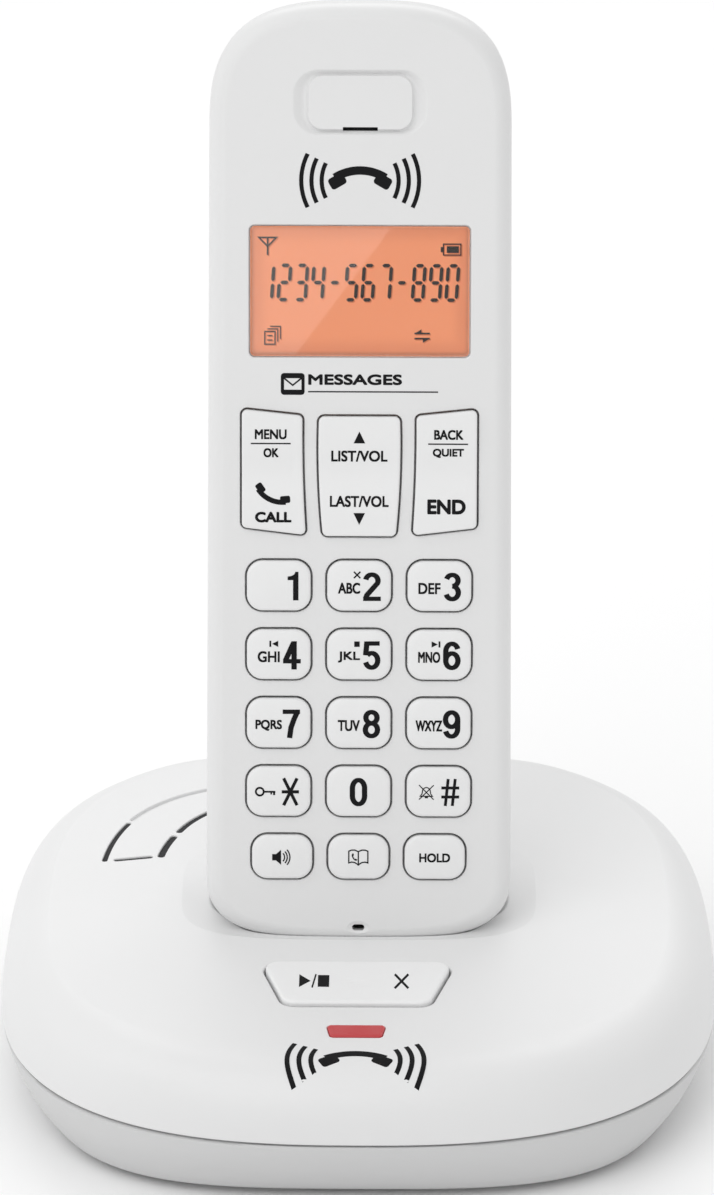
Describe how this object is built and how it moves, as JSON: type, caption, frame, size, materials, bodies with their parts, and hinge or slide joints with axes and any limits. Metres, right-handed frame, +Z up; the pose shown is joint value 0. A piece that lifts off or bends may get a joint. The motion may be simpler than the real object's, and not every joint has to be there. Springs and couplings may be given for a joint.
{
  "type": "cordless phone with base",
  "caption": "Slim cordless telephone handset with amber display and keypad, standing in a rounded white answering base with a rocker key, lamp and speaker outlet.",
  "frame": {"origin": "bottom centre of the bounding box: the middle of the base on the table, at the underside of the feet", "axes": "+Z up, +X to the right of someone facing the keys, -Y towards that person; the handset leans back towards +Y"},
  "size_m": [0.1136, 0.1148, 0.1649],
  "materials": {
    "handset_plastic": "satin moulded light grey-white",
    "base_plastic": "satin moulded white",
    "key_plastic": "satin",
    "window_plastic": "clear polished window",
    "lcd_glass": "amber display",
    "backlight_plastic": "diffusing light guide",
    "lamp_plastic": "translucent red",
    "grey_rubber": "matt",
    "circuit_board": "green solder mask",
    "steel": "plated",
    "contact_metal": "plated contact",
    "cell_wrap": "shrink wrap",
    "jack_plastic": "black"
  },
  "bodies": {
    "base": {"base_top_shell": "base_plastic", "base_bottom_shell": "base_plastic", "base_circuit_board": "circuit_board", "button_board": "circuit_board", "base_speaker": "steel", "in_use_led": "lamp_plastic", "in_use_lamp_lens": "lamp_plastic", "line_jack": "jack_plastic", "power_jack": "jack_plastic", "rubber_foot_1": "grey_rubber", "rubber_foot_2": "grey_rubber", "rubber_foot_3": "grey_rubber", "rubber_foot_4": "grey_rubber", "base_screw_1": "steel", "base_screw_2": "steel", "base_screw_3": "steel", "base_screw_4": "steel"},
    "handset": {"handset_front_shell": "handset_plastic", "handset_rear_shell": "handset_plastic", "display_window": "window_plastic", "lcd_panel": "lcd_glass", "lcd_backlight": "backlight_plastic", "earpiece_speaker": "steel", "microphone": "steel", "handset_circuit_board": "circuit_board", "keypad_membrane": "grey_rubber", "battery_cell_left": "cell_wrap", "battery_cell_right": "cell_wrap", "battery_link_plate": "contact_metal", "battery_contact_left": "contact_metal", "battery_contact_right": "contact_metal", "handset_screw_left": "steel", "handset_screw_right": "steel", "handset_charge_contact_left": "contact_metal", "handset_charge_contact_right": "contact_metal"},
    "battery_cover": {"battery_cover": "handset_plastic"},
    "key_1": {"key_1": "key_plastic"},
    "key_2": {"key_2": "key_plastic"},
    "key_3": {"key_3": "key_plastic"},
    "key_4": {"key_4": "key_plastic"},
    "key_5": {"key_5": "key_plastic"},
    "key_6": {"key_6": "key_plastic"},
    "key_7": {"key_7": "key_plastic"},
    "key_8": {"key_8": "key_plastic"},
    "key_9": {"key_9": "key_plastic"},
    "key_star": {"key_star": "key_plastic"},
    "key_0": {"key_0": "key_plastic"},
    "key_hash": {"key_hash": "key_plastic"},
    "key_speaker": {"key_speaker": "key_plastic"},
    "key_phonebook": {"key_phonebook": "key_plastic"},
    "key_recall": {"key_recall": "key_plastic"},
    "rocker_menu_talk": {"rocker_menu_talk": "key_plastic"},
    "rocker_up_down": {"rocker_up_down": "key_plastic"},
    "rocker_mute_off": {"rocker_mute_off": "key_plastic"},
    "base_rocker_key": {"base_rocker_key": "key_plastic"},
    "base_charge_pin_left": {"base_charge_pin_left": "contact_metal"},
    "base_charge_pin_right": {"base_charge_pin_right": "contact_metal"}
  },
  "joints": [
    {"name": "handset_lift", "type": "slide", "parent": "base", "child": "handset", "axis": [0, 0.2419, 0.9703], "range_m": [0, 0.06]},
    {"name": "battery_cover_slide", "type": "slide", "parent": "handset", "child": "battery_cover", "axis": [0, -0.2419, -0.9703], "range_m": [0, 0.009]},
    {"name": "key_1_press", "type": "slide", "parent": "handset", "child": "key_1", "axis": [0, 0.9703, -0.2419], "range_m": [0, 0.0007], "stiffness_N_per_m": 1000, "springref_m": -0.0004},
    {"name": "key_2_press", "type": "slide", "parent": "handset", "child": "key_2", "axis": [0, 0.9703, -0.2419], "range_m": [0, 0.0007], "stiffness_N_per_m": 1000, "springref_m": -0.0004},
    {"name": "key_3_press", "type": "slide", "parent": "handset", "child": "key_3", "axis": [0, 0.9703, -0.2419], "range_m": [0, 0.0007], "stiffness_N_per_m": 1000, "springref_m": -0.0004},
    {"name": "key_4_press", "type": "slide", "parent": "handset", "child": "key_4", "axis": [0, 0.9703, -0.2419], "range_m": [0, 0.0007], "stiffness_N_per_m": 1000, "springref_m": -0.0004},
    {"name": "key_5_press", "type": "slide", "parent": "handset", "child": "key_5", "axis": [0, 0.9703, -0.2419], "range_m": [0, 0.0007], "stiffness_N_per_m": 1000, "springref_m": -0.0004},
    {"name": "key_6_press", "type": "slide", "parent": "handset", "child": "key_6", "axis": [0, 0.9703, -0.2419], "range_m": [0, 0.0007], "stiffness_N_per_m": 1000, "springref_m": -0.0004},
    {"name": "key_7_press", "type": "slide", "parent": "handset", "child": "key_7", "axis": [0, 0.9703, -0.2419], "range_m": [0, 0.0007], "stiffness_N_per_m": 1000, "springref_m": -0.0004},
    {"name": "key_8_press", "type": "slide", "parent": "handset", "child": "key_8", "axis": [0, 0.9703, -0.2419], "range_m": [0, 0.0007], "stiffness_N_per_m": 1000, "springref_m": -0.0004},
    {"name": "key_9_press", "type": "slide", "parent": "handset", "child": "key_9", "axis": [0, 0.9703, -0.2419], "range_m": [0, 0.0007], "stiffness_N_per_m": 1000, "springref_m": -0.0004},
    {"name": "key_star_press", "type": "slide", "parent": "handset", "child": "key_star", "axis": [0, 0.9703, -0.2419], "range_m": [0, 0.0007], "stiffness_N_per_m": 1000, "springref_m": -0.0004},
    {"name": "key_0_press", "type": "slide", "parent": "handset", "child": "key_0", "axis": [0, 0.9703, -0.2419], "range_m": [0, 0.0007], "stiffness_N_per_m": 1000, "springref_m": -0.0004},
    {"name": "key_hash_press", "type": "slide", "parent": "handset", "child": "key_hash", "axis": [0, 0.9703, -0.2419], "range_m": [0, 0.0007], "stiffness_N_per_m": 1000, "springref_m": -0.0004},
    {"name": "key_speaker_press", "type": "slide", "parent": "handset", "child": "key_speaker", "axis": [0, 0.9703, -0.2419], "range_m": [0, 0.0007], "stiffness_N_per_m": 1000, "springref_m": -0.0004},
    {"name": "key_phonebook_press", "type": "slide", "parent": "handset", "child": "key_phonebook", "axis": [0, 0.9703, -0.2419], "range_m": [0, 0.0007], "stiffness_N_per_m": 1000, "springref_m": -0.0004},
    {"name": "key_recall_press", "type": "slide", "parent": "handset", "child": "key_recall", "axis": [0, 0.9703, -0.2419], "range_m": [0, 0.0007], "stiffness_N_per_m": 1000, "springref_m": -0.0004},
    {"name": "rocker_menu_talk_tilt", "type": "hinge", "parent": "handset", "child": "rocker_menu_talk", "pos_m": [-0.01361, 0.00966, 0.09425], "axis": [1, 0, 0], "range_deg": [-2.5, 2.5], "stiffness_Nm_per_rad": 0.25},
    {"name": "rocker_up_down_tilt", "type": "hinge", "parent": "handset", "child": "rocker_up_down", "pos_m": [0, 0.00966, 0.09425], "axis": [1, 0, 0], "range_deg": [-2.5, 2.5], "stiffness_Nm_per_rad": 0.25},
    {"name": "rocker_mute_off_tilt", "type": "hinge", "parent": "handset", "child": "rocker_mute_off", "pos_m": [0.01361, 0.00966, 0.09425], "axis": [1, 0, 0], "range_deg": [-2.5, 2.5], "stiffness_Nm_per_rad": 0.25},
    {"name": "base_rocker_tilt", "type": "hinge", "parent": "base", "child": "base_rocker_key", "pos_m": [0, -0.02733, 0.02067], "axis": [0, 0.9986, 0.0522], "range_deg": [-2.5, 2.5], "stiffness_Nm_per_rad": 0.35},
    {"name": "base_charge_pin_left_travel", "type": "slide", "parent": "base", "child": "base_charge_pin_left", "axis": [0, -0.2419, -0.9703], "range_m": [0, 0.0008], "stiffness_N_per_m": 400, "springref_m": -0.0005},
    {"name": "base_charge_pin_right_travel", "type": "slide", "parent": "base", "child": "base_charge_pin_right", "axis": [0, -0.2419, -0.9703], "range_m": [0, 0.0008], "stiffness_N_per_m": 400, "springref_m": -0.0005}
  ]
}
